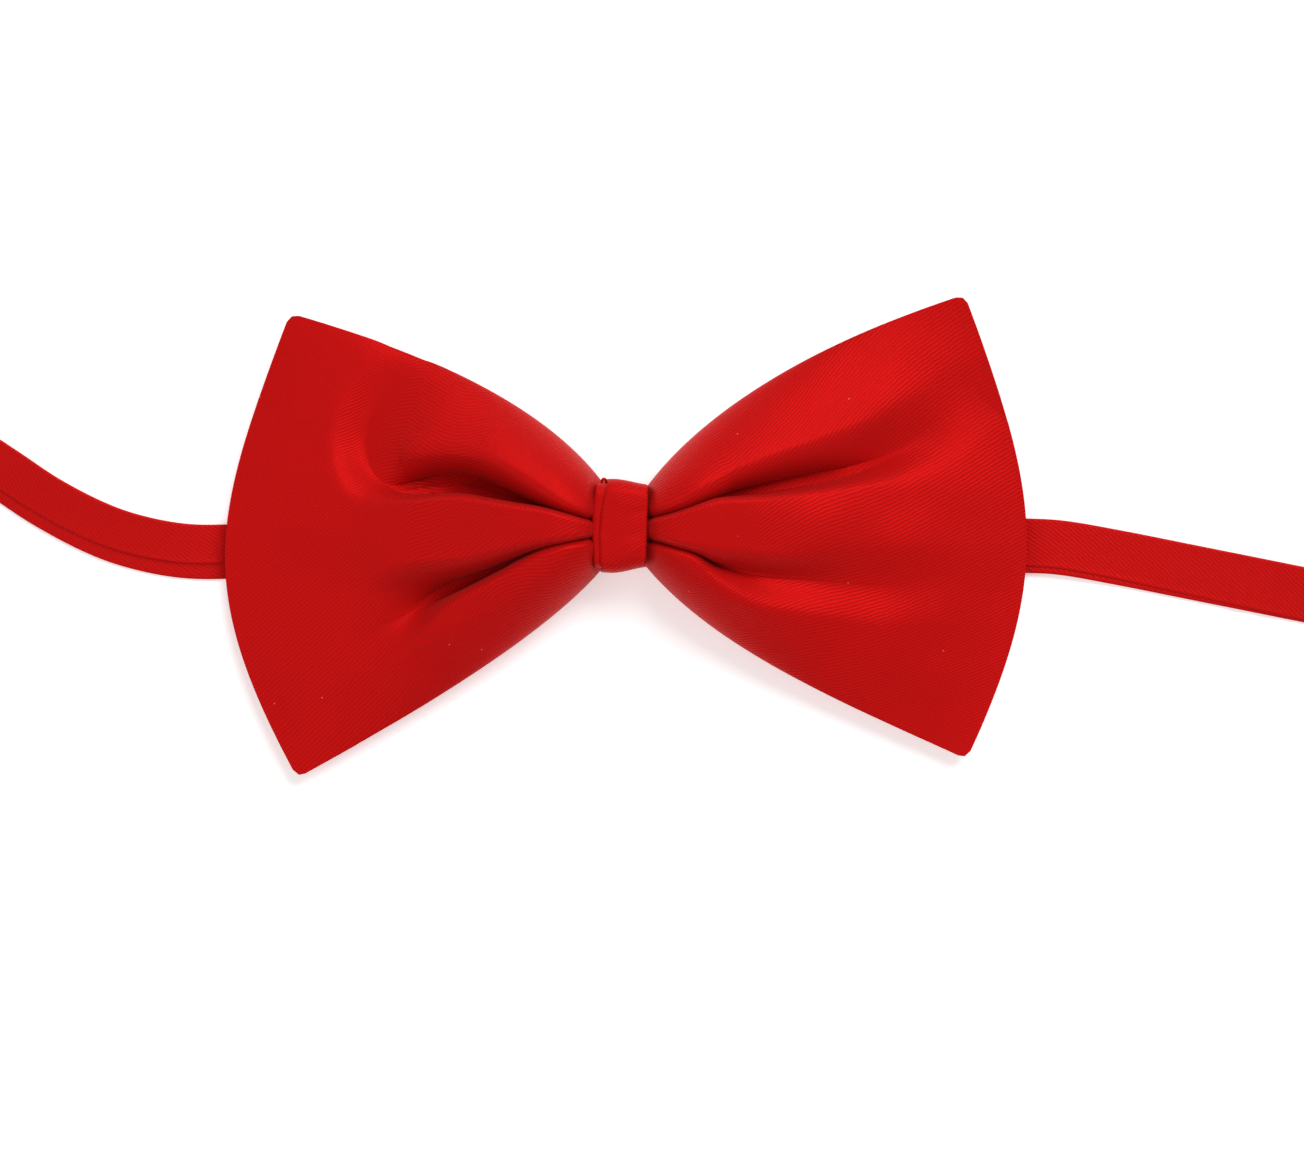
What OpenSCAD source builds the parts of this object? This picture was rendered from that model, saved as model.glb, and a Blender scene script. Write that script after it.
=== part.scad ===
// Pre-tied satin bow tie, lying face up with its neckband open and flat.
// Millimetres. +X is to the right, +Y is up on the wearer, +Z is forward, out of the bow's face.
// The origin is on the flat back of the knot, where the bow rests on a table.

/* [Bow] */
// Width of the bow across both wings
bow_w = 120; // [112:1:128]
// How far the front of each wing puffs out
front_puff = 8; // [5:0.5:9]
// How far the back of each wing puffs out
back_puff = 5; // [3:0.5:6]
// Thickness of a ply of satin
ply_t = 0.45; // [0.35:0.05:0.5]
// How deep the two pleats are pressed into the front, as a share of its puff
pleat_depth = 0.55; // [0.2:0.05:0.7]

/* [Knot] */
// Width of the wrap, along the neckband
knot_w = 7.3; // [6.5:0.1:7.5]
// Height of the wrap, up the wearer
knot_h = 13.9; // [13.5:0.1:14.5]
// Depth of the wrap, from its back to its front
knot_d = 12.5; // [12.2:0.1:13]
// Thickness of the folded wrap
wrap_t = 0.8; // [0.6:0.1:0.9]

/* [Neckband] */
// Width of the neckband
band_w = 8.2; // [7.5:0.1:8.6]
// Thickness of the folded neckband
band_t = 0.7; // [0.5:0.1:0.7]

/* [Fittings] */
// Radius of the bars that the neckband folds round
bar_r = 0.7; // [0.6:0.05:0.75]
// Width of the hook's tongue
tongue_w = 4; // [3:0.5:5]

/* [Hidden] */
$fn = 48;

satin = [0.75, 0.09, 0.09];
inner_cloth = [0.9, 0.88, 0.85];
thread = [0.6, 0.07, 0.07];
metal = [0.8, 0.8, 0.82];

// Each wing's three free edges, as curves through four control points. The top and bottom edges
// run from the waist to a tip, and the outer edge from the bottom tip to the top one.
s = bow_w / 120;
LEFT_TOP = s * [[-5.3, 9.4], [-13.5, 20.5], [-32, 28], [-50.3, 33.4]];
LEFT_BOTTOM = s * [[-5.3, -6.2], [-12.5, -14.8], [-31.5, -26.2], [-49.2, -36.2]];
LEFT_OUTER = s * [[-49.2, -36.2], [-64.8, -7.3], [-62, 2.2], [-50.3, 33.4]];
RIGHT_TOP = s * [[4, 8.4], [13.3, 20.6], [32, 30], [50.7, 36.2]];
RIGHT_BOTTOM = s * [[4, -5.4], [14, -17], [32, -24.5], [51, -33.4]];
RIGHT_OUTER = s * [[51, -33.4], [64, -5.6], [62, 5.9], [50.7, 36.2]];
LEFT = [LEFT_TOP, LEFT_BOTTOM, LEFT_OUTER];
RIGHT = [RIGHT_TOP, RIGHT_BOTTOM, RIGHT_OUTER];

// Each wing flexes about a line beside the knot, and its inner end is round about that line
nose_r = 4.2;
nose_z = 6.6;
left_flex_x = -9.5;
right_flex_x = 8.2;
tip_z = 3.2;
pleat_places = [0.36, 0.63];
pleat_width = 0.07;
pleat_length = 0.65;

// The neckband passes behind the wings in a shallow groove
groove_y = -0.4;
groove_half = band_w / 2 + 2.4;
groove_slope = 4;
groove_z = 2.4;

knot_x = -0.4;
knot_y = 1.55;
corner_r = 3;
layer_gap = 0.05;
edge_strip = 0.9;
band_room = 1.5;

// Route of the neckband's centre line from the eye's loop to the adjusting run: x, y, and z
low = 0.5;
high = 1.5;
BAND_ROUTE = [
    [-206, 26, low], [-190, 26, low], [-170, 26, low], [-150, 26, low], [-138, 25.7, low],
    [-127, 24.3, low], [-117, 21.6, low], [-108, 17.9, low], [-100, 13.6, low], [-93.5, 9.5, low],
    [-87, 5.2, low], [-80, 1.5, low], [-74, -0.7, low], [-67, -2.1, low], [-60, -2.3, low],
    [-48, -1.7, low], [-37, -0.6, low], [-26, 0.6, 1], [-16, 1.2, high], [-8, 1.2, high],
    [0, 1.2, high], [8, 1.2, high], [16, 1.1, high], [26, 0.5, 1], [37, -0.4, low],
    [50, -1.2, low], [60, -1.4, low], [66, -1.8, low], [75, -3.4, low], [84, -5.2, low],
    [93, -7, low], [101, -8.6, low], [108, -9.9, low], [115, -10.9, low], [121, -11.4, low],
    [126, -11.5, low], [128, -11.5, low]];
route_end = BAND_ROUTE[len(BAND_ROUTE) - 1];
run_y = route_end[1];
eye_y = BAND_ROUTE[0][1];

// The fittings: where their bars are, and how high
pin_gap = 0.05;
bore_r = bar_r + pin_gap;
fold_r = bore_r + band_t;
bar_z = fold_r + layer_gap;
eye_x = -218;
loop_length = -206 - eye_x;
hook_x = 220;
adjuster_x = 202;
adjuster_z = 2.9;
adjuster_r = 0.6;
adjuster_half = 4.2;
tail = 9;
merge_at_bar = 5;
merge_at_adjuster = 3.2;
side_gap = 0.4;
rail_y = band_w / 2 + side_gap + adjuster_r;
arch_top = adjuster_z + adjuster_r + pin_gap + 1.5 * band_t + 0.1;

// ---------------------------------------------------------------- curves and sheets

function mix(a, b, t) = a + (b - a) * t;
function smooth(t) = t * t * (3 - 2 * t);
function clamp(t) = max(0, min(1, t));
function bezier(p, t) = pow(1 - t, 3) * p[0] + 3 * t * pow(1 - t, 2) * p[1]
    + 3 * t * t * (1 - t) * p[2] + pow(t, 3) * p[3];

// A point of a wing's plan, where u runs from the waist to the outer edge and v from bottom to top
function wing_plan(w, u, v) =
    mix(bezier(w[1], u), bezier(w[0], u), v)
    + mix(mix(w[1][0], w[0][0], v), bezier(w[2], v), u)
    - mix(mix(w[1][0], w[1][3], u), mix(w[0][0], w[0][3], u), v);

// Height of the line where a wing's front and back plies are sewn together
function seam_z(u) = mix(nose_z, tip_z, smooth(u));

// Share of the puff at v, none at the sewn edges
function crown(v) = 1 - pow(abs(2 * v - 1), 2.5);

// Share of the puff left by the two pleats, which fade out on the way to the outer edge
function pleats(u, v) = 1 - pleat_depth * clamp(1 - u / pleat_length)
    * max([for (p = pleat_places) exp(-pow((v - p) / pleat_width, 2))]);

function swell(u, puff) = nose_r * (1 - u) + puff * sin(180 * pow(u, 0.75));

// Half the depth allowed at x by the round inner end
function nose(x, flex_x) = let (d = abs(flex_x) - abs(x))
    d > 0 ? sqrt(max(0.3, nose_r * nose_r - d * d)) : 100;

// Lowest height of the back ply at y, over the neckband's groove and down to the table
function groove(y) = groove_z * (1 - smooth(clamp((abs(y - groove_y) - groove_half) / groove_slope)));

function front_z(x, u, v, flex_x) =
    min(seam_z(u) + ply_t + layer_gap + swell(u, front_puff) * crown(v) * pleats(u, v),
        nose_z + nose(x, flex_x));
function back_z(x, y, u, v, flex_x) =
    max(seam_z(u) - ply_t - layer_gap - swell(u, back_puff) * crown(v),
        nose_z - nose(x, flex_x), groove(y));

// A closed solid between two grids of points of the same size. flip turns its faces over.
module sheet(upper, lower, flip) {
    n = len(upper);
    m = len(upper[0]);
    at = function (side, i, j) side * n * m + i * m + j;
    rim = concat([for (i = [0:n - 1]) [i, 0]], [for (j = [1:m - 1]) [n - 1, j]],
        [for (i = [n - 2:-1:0]) [i, m - 1]], [for (j = [m - 2:-1:1]) [0, j]]);
    top = [for (i = [0:n - 2], j = [0:m - 2])
        each [[at(0, i, j), at(0, i + 1, j + 1), at(0, i + 1, j)],
            [at(0, i, j), at(0, i, j + 1), at(0, i + 1, j + 1)]]];
    bottom = [for (i = [0:n - 2], j = [0:m - 2])
        each [[at(1, i, j), at(1, i + 1, j), at(1, i + 1, j + 1)],
            [at(1, i, j), at(1, i + 1, j + 1), at(1, i, j + 1)]]];
    wall = [for (k = [0:len(rim) - 1]) let (a = rim[k], b = rim[(k + 1) % len(rim)])
        each [[at(0, a[0], a[1]), at(0, b[0], b[1]), at(1, a[0], a[1])],
            [at(0, b[0], b[1]), at(1, b[0], b[1]), at(1, a[0], a[1])]]];
    faces = concat(top, bottom, wall);
    polyhedron(points = concat([for (row = upper) each row], [for (row = lower) each row]),
        faces = flip ? [for (f = faces) [f[2], f[1], f[0]]] : faces, convexity = 8);
}

// Steps of a wing's grid along u and v
ply_steps = [22, 24];
core_steps = [14, 14];
function grid(w, steps, inset, z) = [for (i = [0:steps[0]]) [for (j = [0:steps[1]])
    let (u = mix(inset, 1 - 1.5 * inset, i / steps[0]), v = mix(inset, 1 - inset, j / steps[1]),
        p = wing_plan(w, u, v))
    [p[0], p[1], z(p[0], p[1], u, v)]]];

module wing_front(w, flex_x) {
    outside = grid(w, ply_steps, 0, function (x, y, u, v) front_z(x, u, v, flex_x));
    inside = grid(w, ply_steps, 0, function (x, y, u, v) front_z(x, u, v, flex_x) - ply_t);
    color(satin) sheet(outside, inside, flex_x < 0);
}

module wing_back(w, flex_x) {
    inside = grid(w, ply_steps, 0, function (x, y, u, v) back_z(x, y, u, v, flex_x) + ply_t);
    outside = grid(w, ply_steps, 0, function (x, y, u, v) back_z(x, y, u, v, flex_x));
    color(satin) sheet(inside, outside, flex_x < 0);
}

module wing_interlining(w, flex_x) {
    middle = function (x, y, u, v) (front_z(x, u, v, flex_x) + back_z(x, y, u, v, flex_x)) / 2;
    half = ply_t / 2;
    inset = 0.08;
    above = grid(w, core_steps, inset, function (x, y, u, v) middle(x, y, u, v) + half);
    below = grid(w, core_steps, inset, function (x, y, u, v) middle(x, y, u, v) - half);
    color(inner_cloth) sheet(above, below, flex_x < 0);
}

// ---------------------------------------------------------------- the knot

// A rectangle with round corners, centred on the origin
module round_rect(w, h, r) {
    square([w - 2 * r, h], center = true);
    square([w, h - 2 * r], center = true);
    for (x = [-1, 1], y = [-1, 1])
        translate([x * (w / 2 - r), y * (h / 2 - r)])
            circle(r);
}

// A closed band round the X axis: y and z are its middle, h its height and d its depth
module ring_band(x, y, z, length, h, d, t, r) {
    translate([x, y, z])
        rotate([90, 0, 90])
            linear_extrude(length)
                difference() {
                    round_rect(h, d, r);
                    round_rect(h - 2 * t, d - 2 * t, r - t);
                }
}

inner_bottom = wrap_t + band_room;
inner_top = knot_d - wrap_t - layer_gap;
inner_d = inner_top - inner_bottom;
inner_z = (inner_top + inner_bottom) / 2;
inner_h = knot_h - 2 * wrap_t - 2 * layer_gap;
inner_t = wrap_t - 0.1;
thread_d = 0.4;
thread_turns = 5;
thread_corner = 1.4;
pleat_waves = 4;
pleat_cloth = 1;
bundle_gap = inner_t + thread_d + 5 * layer_gap;

module knot_wrap() {
    color(satin)
        ring_band(knot_x - knot_w / 2, knot_y, knot_d / 2, knot_w, knot_h, knot_d, wrap_t, corner_r);
}

module waist_band() {
    color(satin)
        ring_band(knot_x - knot_w / 2 - edge_strip, knot_y, inner_z, knot_w - edge_strip,
            inner_h, inner_d, inner_t, corner_r - wrap_t);
}

module waist_thread() {
    inset = 2 * (inner_t + layer_gap);
    color(thread)
        for (i = [0:thread_turns - 1])
            ring_band(knot_x + (2 * i - thread_turns + 1) * thread_d, knot_y, inner_z, thread_d,
                inner_h - inset, inner_d - inset, thread_d, thread_corner);
}

// The cloth where it is gathered: a stack of pleats, seen from the end as a wave
module pleated_waist() {
    h = inner_h - 2 * bundle_gap;
    d = inner_d - 2 * bundle_gap;
    steps = 40;
    half = d / 2 - pleat_cloth;
    least = 0.6 * pleat_cloth;
    wave = function (t) half * cos(360 * pleat_waves * t);
    above = [for (i = [0:steps])
        [mix(-h / 2, h / 2, i / steps), max(-least, wave(i / steps)) + pleat_cloth]];
    below = [for (i = [steps:-1:0])
        [mix(-h / 2, h / 2, i / steps), min(least, wave(i / steps)) - pleat_cloth]];
    color(satin)
        translate([knot_x - knot_w / 2 - 0.3, knot_y, inner_z])
            rotate([90, 0, 90])
                linear_extrude(knot_w)
                    polygon(concat(above, below));
}

stitch_r = 0.2;

module wrap_stitches() {
    pitch = 1.3;
    length = 1.6;
    color(thread)
        for (i = [-2:2])
            translate([knot_x + i * pitch, knot_y, wrap_t / 2])
                rotate([90, 0, 0])
                    cylinder(h = length, r = stitch_r, center = true, $fn = 16);
}

// ---------------------------------------------------------------- the neckband

// Section of the flat band, seen from its end: 8 points, across and up
cut = 0.2;
BAND_SECTION = let (a = band_w / 2, b = band_t / 2)
    [[-a, -b + cut], [-a + cut, -b], [a - cut, -b], [a, -b + cut],
        [a, b - cut], [a - cut, b], [-a + cut, b], [-a, b - cut]];

// Direction across the band at a point of its route
function across(route, i) = let (n = len(route),
    d = route[min(i + 1, n - 1)] - route[max(i - 1, 0)], length = norm([d[0], d[1]]))
    [-d[1] / length, d[0] / length, 0];

module neckband() {
    n = len(BAND_ROUTE);
    k = len(BAND_SECTION);
    points = [for (i = [0:n - 1], q = BAND_SECTION)
        BAND_ROUTE[i] + q[0] * across(BAND_ROUTE, i) + [0, 0, q[1]]];
    sides = [for (i = [0:n - 2], j = [0:k - 1]) let (a = i * k + j, b = i * k + (j + 1) % k)
        each [[a, b, b + k], [a, b + k, a + k]]];
    color(satin)
        polyhedron(points, concat(sides, [[for (j = [k - 1:-1:0]) j]],
            [[for (j = [0:k - 1]) (n - 1) * k + j]]), convexity = 6);
}

// A strip of cloth seen from the side, as thick as the band, along points of its middle line
module strip_profile(path) {
    n = len(path);
    normal = function (i) let (d = path[min(i + 1, n - 1)] - path[max(i - 1, 0)])
        [-d[1], d[0]] / norm(d) * band_t / 2;
    polygon(concat([for (i = [0:n - 1]) path[i] + normal(i)],
        [for (i = [n - 1:-1:0]) path[i] - normal(i)]));
}

// A side view, X along and Y up, made into a solid as wide as the band, in the middle at y
module across_band(y, width = band_w) {
    translate([0, y + width / 2, 0])
        rotate([90, 0, 0])
            linear_extrude(width)
                children();
}

// The end of the band folded round a bar at x and z. The two layers run towards side, and lie on
// each other, on the table, from merge to length.
module folded_end(x, y, z, r_in, merge, length, side) {
    r_out = r_in + band_t;
    low_z = layer_gap - z;
    top_z = low_z + 2 * band_t;
    translate([x, 0, z])
        difference() {
            union() {
                across_band(y)
                    circle(r_out);
                across_band(y)
                    polygon([[0, r_out], [side * merge, top_z], [side * length, top_z],
                        [side * length, low_z], [side * merge, low_z], [0, -r_out]]);
            }
            across_band(y, band_w + 1)
                circle(r_in);
            across_band(y, band_w + 1)
                polygon([[0, r_in], [side * merge * 0.7, (low_z + top_z - r_in) / 2], [0, -r_in]]);
        }
}

module eye_loop() {
    color(satin)
        folded_end(eye_x, eye_y, bar_z, bore_r, merge_at_bar, loop_length, 1);
}

// Single layer from the end of the curved band, under the adjuster's frame and over its centre bar
module adjusting_run() {
    // The climb from the table to the bar's top: distance from the bar, and height
    climb = [[3.4, low], [2.6, 1], [2, 2.6], [1.4, arch_top - 0.6], [0.7, arch_top], [layer_gap, arch_top]];
    color(satin)
        across_band(run_y)
            strip_profile(concat([[route_end[0], low]], [for (p = climb) [adjuster_x - p[0], p[1]]]));
}

// The band's sewn tail, folded round the adjuster's centre bar
module adjuster_fold() {
    color(satin)
        folded_end(adjuster_x, run_y, adjuster_z, adjuster_r + pin_gap, merge_at_adjuster, tail, 1);
}

// The band from the centre bar's top to the hook, round it, and back under to the sewn tail
module hook_loop() {
    hook_fold = 6;
    two_layers = 1.5 * band_t + layer_gap;
    three_layers = 2.5 * band_t + 2 * layer_gap;
    tail_x = adjuster_x + tail;
    overlap = 1;
    // The way down from the bar's top to the tail's back: distance from the bar, and height
    descent = [[0, arch_top], [0.7, arch_top], [1.5, arch_top - 0.8], [2.6, 2.8],
        [3.4, three_layers + 0.2], [4.4, three_layers], [tail + 1, three_layers],
        [tail + 2.5, two_layers], [hook_x - hook_fold + overlap - adjuster_x, two_layers]];
    color(satin)
        union() {
            across_band(run_y)
                strip_profile([for (p = descent) [adjuster_x + p[0], p[1]]]);
            across_band(run_y)
                translate([tail_x, layer_gap])
                    square([hook_x - hook_fold - tail_x + overlap, band_t]);
            folded_end(hook_x, run_y, bar_z, bore_r, merge_at_bar, hook_fold, -1);
        }
}

// ---------------------------------------------------------------- the fittings

// A round bar between two points along one of the axes, with ball ends
module bar(a, b, r) {
    d = b - a;
    translate(a) {
        sphere(r);
        rotate(d[1] != 0 ? [-90, 0, 0] : [0, 90, 0])
            cylinder(h = norm(d), r = r);
    }
    translate(b)
        sphere(r);
}

module slide_adjuster() {
    color(metal)
        translate([adjuster_x, run_y, adjuster_z]) {
            for (x = [-adjuster_half, 0, adjuster_half])
                bar([x, -rail_y, 0], [x, rail_y, 0], adjuster_r);
            for (y = [-rail_y, rail_y])
                bar([-adjuster_half, y, 0], [adjuster_half, y, 0], adjuster_r);
        }
}

// A bar tack: a row of short threads side by side along the band
module bar_tack(x, y, z) {
    pitch = 0.7;
    length = 1.8;
    r = 0.22;
    color(thread)
        for (i = [-4:4])
            translate([x, y + i * pitch, z])
                rotate([0, 90, 0])
                    cylinder(h = length, r = r, center = true, $fn = 16);
}

module adjuster_stitches() {
    bar_tack(adjuster_x + tail - 2, run_y, layer_gap + band_t);
}

module eye_stitches() {
    bar_tack(eye_x + loop_length - 3, eye_y, 2 * band_t);
}

// Flat hook: a plate with a slot behind the bar, and a tongue that turns up and back
module hook() {
    plate_t = 2 * bar_r - 0.4;
    half = band_w / 2 + side_gap + 1;
    slot_end = 3.2;
    shoulder = 4.6;
    tongue_end = 10;
    neck_end = 7.2;
    rim = 0.3;
    turn_r = 1.7;
    lip = 4.5;
    color(metal)
        translate([hook_x, run_y, bar_z]) {
            bar([0, -half, 0], [0, half, 0], bar_r);
            translate([0, 0, -plate_t / 2])
                linear_extrude(plate_t)
                    difference() {
                        polygon([[0, -half - rim], [shoulder, -half - rim], [neck_end, -tongue_w / 2],
                            [tongue_end, -tongue_w / 2], [tongue_end, tongue_w / 2],
                            [neck_end, tongue_w / 2], [shoulder, half + rim], [0, half + rim]]);
                        translate([-1, -band_w / 2 - side_gap])
                            square([slot_end + 1, band_w + 2 * side_gap]);
                    }
            translate([tongue_end, tongue_w / 2, turn_r])
                rotate([90, 0, 0])
                    rotate([0, 0, -90])
                        rotate_extrude(angle = 180)
                            translate([turn_r - plate_t / 2, 0])
                                square([plate_t, tongue_w]);
            translate([tongue_end - lip, -tongue_w / 2, 2 * turn_r - plate_t / 2])
                cube([lip, tongue_w, plate_t]);
        }
}

// Ring for the hook: a straight bar, two arms and a half round end
module eye() {
    ring_r = band_w / 2 + side_gap + bar_r;
    arm = 4;
    color(metal)
        translate([eye_x, eye_y, bar_z]) {
            bar([0, -ring_r, 0], [0, ring_r, 0], bar_r);
            for (y = [-ring_r, ring_r])
                translate([-arm, y, 0])
                    rotate([0, 90, 0])
                        cylinder(h = arm, r = bar_r);
            translate([-arm, 0, 0])
                rotate([0, 0, 90])
                    rotate_extrude(angle = 180)
                        translate([ring_r, 0])
                            circle(bar_r);
        }
}

wing_front(LEFT, left_flex_x);  // left_wing_front
wing_back(LEFT, left_flex_x);  // left_wing_back
wing_interlining(LEFT, left_flex_x);  // left_wing_interlining
wing_front(RIGHT, right_flex_x);  // right_wing_front
wing_back(RIGHT, right_flex_x);  // right_wing_back
wing_interlining(RIGHT, right_flex_x);  // right_wing_interlining
pleated_waist();
waist_thread();
waist_band();
knot_wrap();
wrap_stitches();
neckband();
adjusting_run();
adjuster_fold();
hook_loop();
eye_loop();
slide_adjuster();
adjuster_stitches();
hook();
eye();
eye_stitches();
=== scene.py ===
"""Looks of a pre-tied red satin bow tie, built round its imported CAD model. Metres, in the row frame."""

import math

import bmesh
import bpy
import numpy as np
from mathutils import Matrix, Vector


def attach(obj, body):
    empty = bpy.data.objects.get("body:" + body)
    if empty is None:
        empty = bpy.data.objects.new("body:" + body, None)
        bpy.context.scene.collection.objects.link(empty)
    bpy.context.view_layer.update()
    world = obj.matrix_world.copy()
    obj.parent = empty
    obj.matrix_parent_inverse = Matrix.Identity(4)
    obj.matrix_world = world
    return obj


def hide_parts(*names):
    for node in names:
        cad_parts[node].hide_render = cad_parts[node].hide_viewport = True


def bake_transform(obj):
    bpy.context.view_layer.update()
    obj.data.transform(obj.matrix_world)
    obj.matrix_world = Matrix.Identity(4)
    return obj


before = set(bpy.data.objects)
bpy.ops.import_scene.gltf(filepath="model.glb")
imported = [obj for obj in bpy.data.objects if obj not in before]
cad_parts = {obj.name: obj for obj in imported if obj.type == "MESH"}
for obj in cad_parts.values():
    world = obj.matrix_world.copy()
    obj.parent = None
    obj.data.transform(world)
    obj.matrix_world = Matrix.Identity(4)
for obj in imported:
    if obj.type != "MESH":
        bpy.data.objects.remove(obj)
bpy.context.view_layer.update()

MM = 0.001


# ---------------------------------------------------------------- camera

CAMERA_HEIGHT = 1.2
VIEW_WIDTH = 195.1 * MM
VIEW_CENTRE = (3.9 * MM, -5.8 * MM)
SENSOR = 36.0
FACE_HEIGHT = 4 * MM


def make_camera():
    """A long lens straight above the bow, which lies face up."""
    data = bpy.data.cameras.new("camera")
    camera = bpy.data.objects.new("camera", data)
    bpy.context.scene.collection.objects.link(camera)
    data.sensor_width = SENSOR
    data.lens = SENSOR * (CAMERA_HEIGHT - FACE_HEIGHT) / VIEW_WIDTH
    data.clip_start = 0.01
    data.clip_end = 20.0
    camera.location = (VIEW_CENTRE[0], VIEW_CENTRE[1], CAMERA_HEIGHT)
    bpy.context.scene.camera = camera


make_camera()


# ---------------------------------------------------------------- mesh and curve tools

def mix(a, b, t):
    """a where t is 0, and b where it is 1."""
    return a + (b - a) * t


def smooth(t):
    """An S-shaped step from 0 to 1."""
    t = np.clip(t, 0, 1)
    return t * t * (3 - 2 * t)


def bezier(points, t):
    """Points at t on the curve through four control points, in metres."""
    p = np.array(points, float) * MM
    t = np.asarray(t, float)[..., None]
    return (1 - t) ** 3 * p[0] + 3 * t * (1 - t) ** 2 * p[1] + 3 * t * t * (1 - t) * p[2] + t ** 3 * p[3]


def through(points, count):
    """Rows of numbers at count even steps along a smooth curve through the given rows."""
    p = np.array(points, float)
    p = np.vstack([2 * p[0] - p[1], p, 2 * p[-1] - p[-2]])
    steps = np.linspace(0, len(p) - 3 - 1e-9, count)
    i = steps.astype(int)
    t = (steps - i)[:, None]
    a, b, c, d = p[i], p[i + 1], p[i + 2], p[i + 3]
    return 0.5 * (2 * b + (c - a) * t + (2 * a - 5 * b + 4 * c - d) * t ** 2
                  + (3 * b - a - 3 * c + d) * t ** 3)


def grid_faces(rows, columns, close_rows=False, close_columns=False, flip=False):
    """Quads of a grid of points, which may close on itself either way."""
    faces = []
    for i in range(rows if close_rows else rows - 1):
        for j in range(columns if close_columns else columns - 1):
            a = i * columns + j
            b = i * columns + (j + 1) % columns
            c = ((i + 1) % rows) * columns + (j + 1) % columns
            d = ((i + 1) % rows) * columns + j
            faces.append((a, d, c, b) if flip else (a, b, c, d))
    return faces


def new_piece(name, points, faces, material, cloth=None):
    """A smooth-shaded mesh piece. cloth is each point's place on its flat cloth, in metres."""
    mesh = bpy.data.meshes.new(name)
    mesh.from_pydata([tuple(p) for p in np.reshape(points, (-1, 3))], [], faces)
    mesh.shade_smooth()
    mesh.materials.append(material)
    if cloth is not None:
        layer = mesh.uv_layers.new(name="cloth")
        flat = np.reshape(cloth, (-1, 2))
        for loop in mesh.loops:
            layer.data[loop.index].uv = flat[loop.vertex_index]
    mesh.update()
    piece = bpy.data.objects.new(name, mesh)
    bpy.context.scene.collection.objects.link(piece)
    return piece


def apply_modifier(piece, kind, **settings):
    """Adds a modifier with these settings and applies it."""
    modifier = piece.modifiers.new(kind, kind)
    for key, value in settings.items():
        setattr(modifier, key, value)
    bpy.context.view_layer.objects.active = piece
    with bpy.context.temp_override(object=piece, active_object=piece, selected_objects=[piece]):
        bpy.ops.object.modifier_apply(modifier=modifier.name)


# ---------------------------------------------------------------- materials

class Nodes:
    """A material's node tree, built a node at a time."""

    def __init__(self, name):
        self.material = bpy.data.materials.new(name)
        self.material.use_nodes = True
        self.tree = self.material.node_tree
        self.shader = self.tree.nodes["Principled BSDF"]

    def add(self, kind, values=None, **settings):
        node = self.tree.nodes.new(kind)
        for key, value in settings.items():
            setattr(node, key, value)
        for key, value in (values or {}).items():
            socket = node.inputs[key]
            if isinstance(value, bpy.types.NodeSocket):
                self.tree.links.new(value, socket)
            else:
                socket.default_value = value
        return node

    def math(self, operation, a, b=0.0, c=0.0):
        return self.add("ShaderNodeMath", {0: a, 1: b, 2: c}, operation=operation).outputs[0]

    def blend(self, factor, a, b):
        node = self.add("ShaderNodeMix", data_type="RGBA")
        for place, value in (("Factor_Float", factor), ("A_Color", a), ("B_Color", b)):
            socket = next(s for s in node.inputs if s.identifier == place)
            if isinstance(value, bpy.types.NodeSocket):
                self.tree.links.new(value, socket)
            else:
                socket.default_value = value
        return next(s for s in node.outputs if s.identifier == "Result_Color")

    def plug(self, name, socket):
        self.tree.links.new(socket, self.shader.inputs[name])


TWILL_PITCH = 0.5 * MM
TWILL_SLOPE = math.radians(58)


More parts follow.
